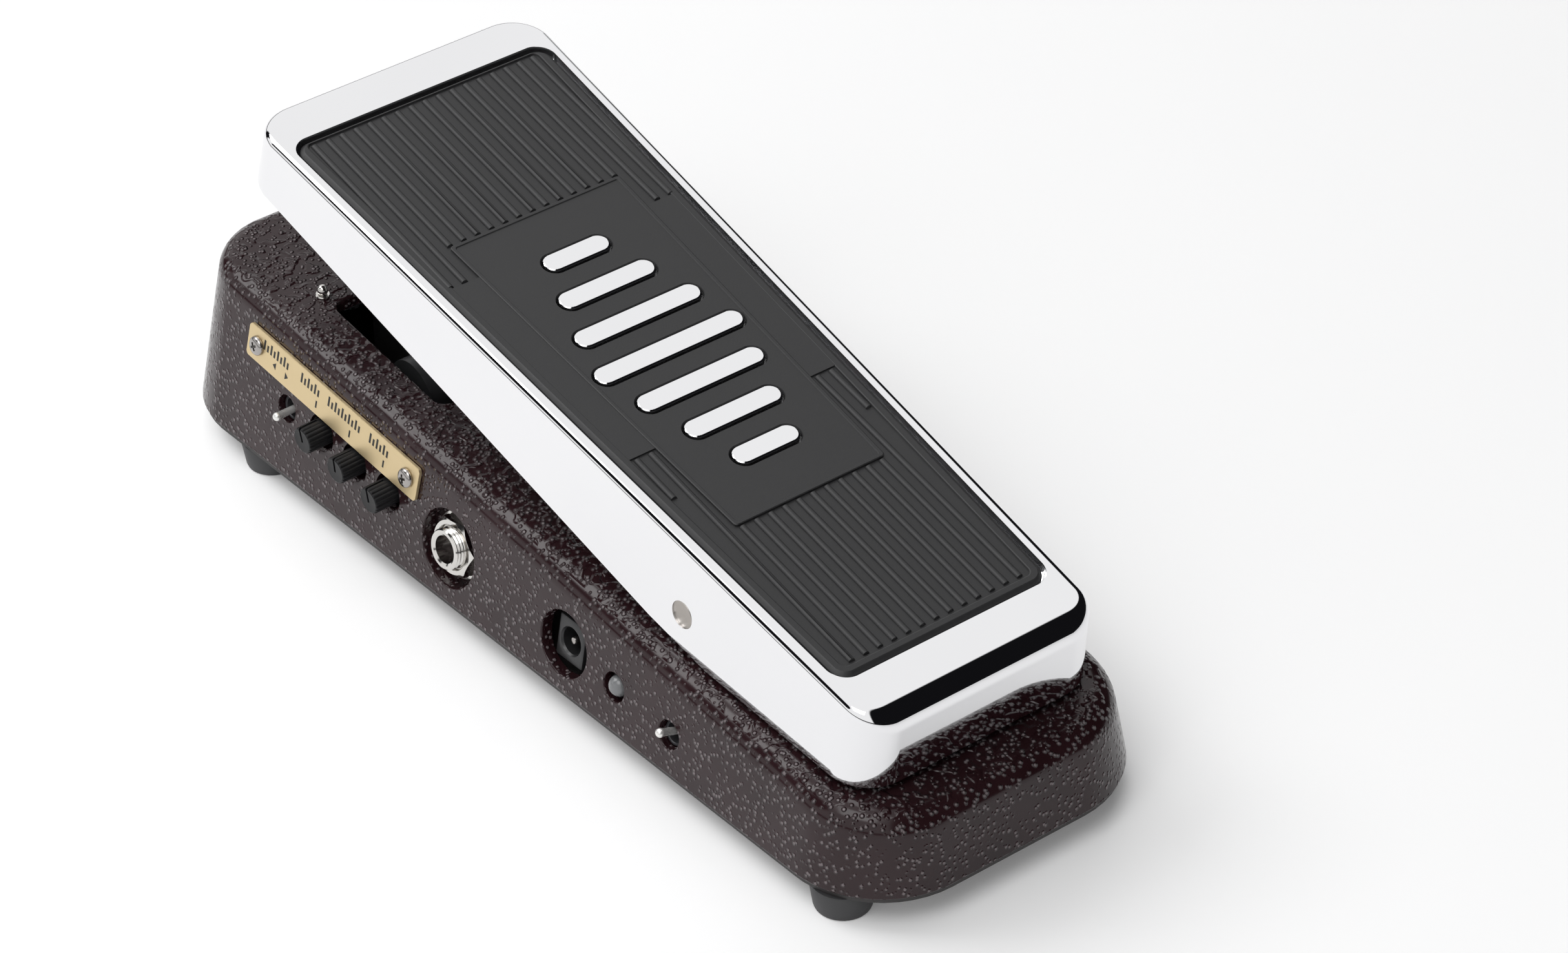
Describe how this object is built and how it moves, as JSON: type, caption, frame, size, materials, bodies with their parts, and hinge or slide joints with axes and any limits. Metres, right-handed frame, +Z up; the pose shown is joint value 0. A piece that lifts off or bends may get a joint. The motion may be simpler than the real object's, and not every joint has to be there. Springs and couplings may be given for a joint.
{
  "type": "wah effects pedal",
  "caption": "Rocking treadle effects pedal with a wedge-shaped cast base, jack sockets, side knobs and toggles, and a toe footswitch.",
  "frame": {"origin": "middle of the footprint on the floor, at the soles of the rubber feet", "axes": "+Z up; +Y towards the toe end of the treadle; +X to the player's right; the controls are on the -X side"},
  "size_m": [0.1007, 0.252, 0.0885],
  "materials": {
    "housing": "gloss, textured",
    "bottom_plate": "satin",
    "bottom_plate_screws": "satin",
    "rubber_feet": "matte",
    "foot_screws": "satin",
    "label_plate": "satin",
    "label_screws": "polished",
    "deck_stud": "polished",
    "pivot_bushes": "matte",
    "output_jack": "satin",
    "output_jack_nut": "polished",
    "input_jack": "satin",
    "input_jack_nut": "polished",
    "dc_jack": "gloss",
    "status_led": "diffused",
    "polarity_switch": "satin",
    "mode_switch": "satin",
    "control_pots": "satin",
    "control_board": "satin",
    "main_board": "satin",
    "board_standoffs": "matte",
    "board_screws": "satin",
    "inductor": "matte",
    "capacitors": "gloss",
    "transistors": "matte",
    "resistors": "satin",
    "battery": "satin",
    "battery_snap": "matte",
    "footswitch_body": "satin",
    "footswitch_nuts": "polished",
    "wah_pot": "satin",
    "wah_pot_nut": "polished",
    "pot_bracket": "satin",
    "bracket_screws": "satin",
    "treadle": "polished",
    "rubber_mat": "satin",
    "pivot_pin": "satin",
    "pivot_washers": "matte",
    "toe_pad": "matte",
    "heel_pad": "matte",
    "quadrant_rack": "satin",
    "rack_screws": "satin",
    "wah_pot_shaft": "satin",
    "pinion": "satin",
    "knob_attack": "satin",
    "shaft_attack": "satin",
    "knob_sense": "satin",
    "shaft_sense": "satin",
    "knob_time": "satin",
    "shaft_time": "satin",
    "polarity_lever": "polished",
    "mode_lever": "polished",
    "footswitch_plunger": "polished"
  },
  "bodies": {
    "base": {"housing": "housing", "bottom_plate": "bottom_plate", "bottom_plate_screws": "bottom_plate_screws", "rubber_feet": "rubber_feet", "foot_screws": "foot_screws", "label_plate": "label_plate", "label_screws": "label_screws", "deck_stud": "deck_stud", "pivot_bushes": "pivot_bushes", "output_jack": "output_jack", "output_jack_nut": "output_jack_nut", "input_jack": "input_jack", "input_jack_nut": "input_jack_nut", "dc_jack": "dc_jack", "status_led": "status_led", "polarity_switch": "polarity_switch", "mode_switch": "mode_switch", "control_pots": "control_pots", "control_board": "control_board", "main_board": "main_board", "board_standoffs": "board_standoffs", "board_screws": "board_screws", "inductor": "inductor", "capacitors": "capacitors", "transistors": "transistors", "resistors": "resistors", "battery": "battery", "battery_snap": "battery_snap", "footswitch_body": "footswitch_body", "footswitch_nuts": "footswitch_nuts", "wah_pot": "wah_pot", "wah_pot_nut": "wah_pot_nut", "pot_bracket": "pot_bracket", "bracket_screws": "bracket_screws"},
    "rocker": {"treadle": "treadle", "rubber_mat": "rubber_mat", "pivot_pin": "pivot_pin", "pivot_washers": "pivot_washers", "toe_pad": "toe_pad", "heel_pad": "heel_pad", "quadrant_rack": "quadrant_rack", "rack_screws": "rack_screws"},
    "wah_spindle": {"wah_pot_shaft": "wah_pot_shaft", "pinion": "pinion"},
    "attack_control": {"knob_attack": "knob_attack", "shaft_attack": "shaft_attack"},
    "sense_control": {"knob_sense": "knob_sense", "shaft_sense": "shaft_sense"},
    "time_control": {"knob_time": "knob_time", "shaft_time": "shaft_time"},
    "polarity_toggle": {"polarity_lever": "polarity_lever"},
    "mode_toggle": {"mode_lever": "mode_lever"},
    "toe_plunger": {"footswitch_plunger": "footswitch_plunger"}
  },
  "joints": [
    {"name": "treadle_tilt", "type": "hinge", "parent": "base", "child": "rocker", "pos_m": [0, -0.0558, 0.0425], "axis": [1, 0, 0], "range_deg": [-9.5, 0]},
    {"name": "wah_pot_turn", "type": "hinge", "parent": "base", "child": "wah_spindle", "pos_m": [0, 0.05478, 0.03283], "axis": [1, 0, 0], "range_deg": [-2, 168]},
    {"name": "attack_turn", "type": "hinge", "parent": "base", "child": "attack_control", "pos_m": [-0.04527, 0.0644, 0.0255], "axis": [-0.9992, -0.0402, 0], "range_deg": [-150, 150]},
    {"name": "sense_turn", "type": "hinge", "parent": "base", "child": "sense_control", "pos_m": [-0.04496, 0.05175, 0.02445], "axis": [-0.9992, -0.0402, 0], "range_deg": [-150, 150]},
    {"name": "time_turn", "type": "hinge", "parent": "base", "child": "time_control", "pos_m": [-0.04464, 0.0391, 0.0234], "axis": [-0.9992, -0.0402, 0], "range_deg": [-150, 150]},
    {"name": "polarity_throw", "type": "hinge", "parent": "base", "child": "polarity_toggle", "pos_m": [-0.04143, 0.07778, 0.02386], "axis": [-0.0402, 0.9992, 0], "range_deg": [0, 22]},
    {"name": "mode_throw", "type": "hinge", "parent": "base", "child": "mode_toggle", "pos_m": [-0.03726, -0.06042, 0.01636], "axis": [-0.0402, 0.9992, 0], "range_deg": [-22, 0]},
    {"name": "plunger_press", "type": "slide", "parent": "base", "child": "toe_plunger", "axis": [0, 0, -1], "range_m": [0, 0.0018], "stiffness_N_per_m": 2500, "springref_m": -0.001}
  ],
  "couplings": [
    {"joint": "wah_pot_turn", "follows": "treadle_tilt", "ratio": -17.5}
  ]
}
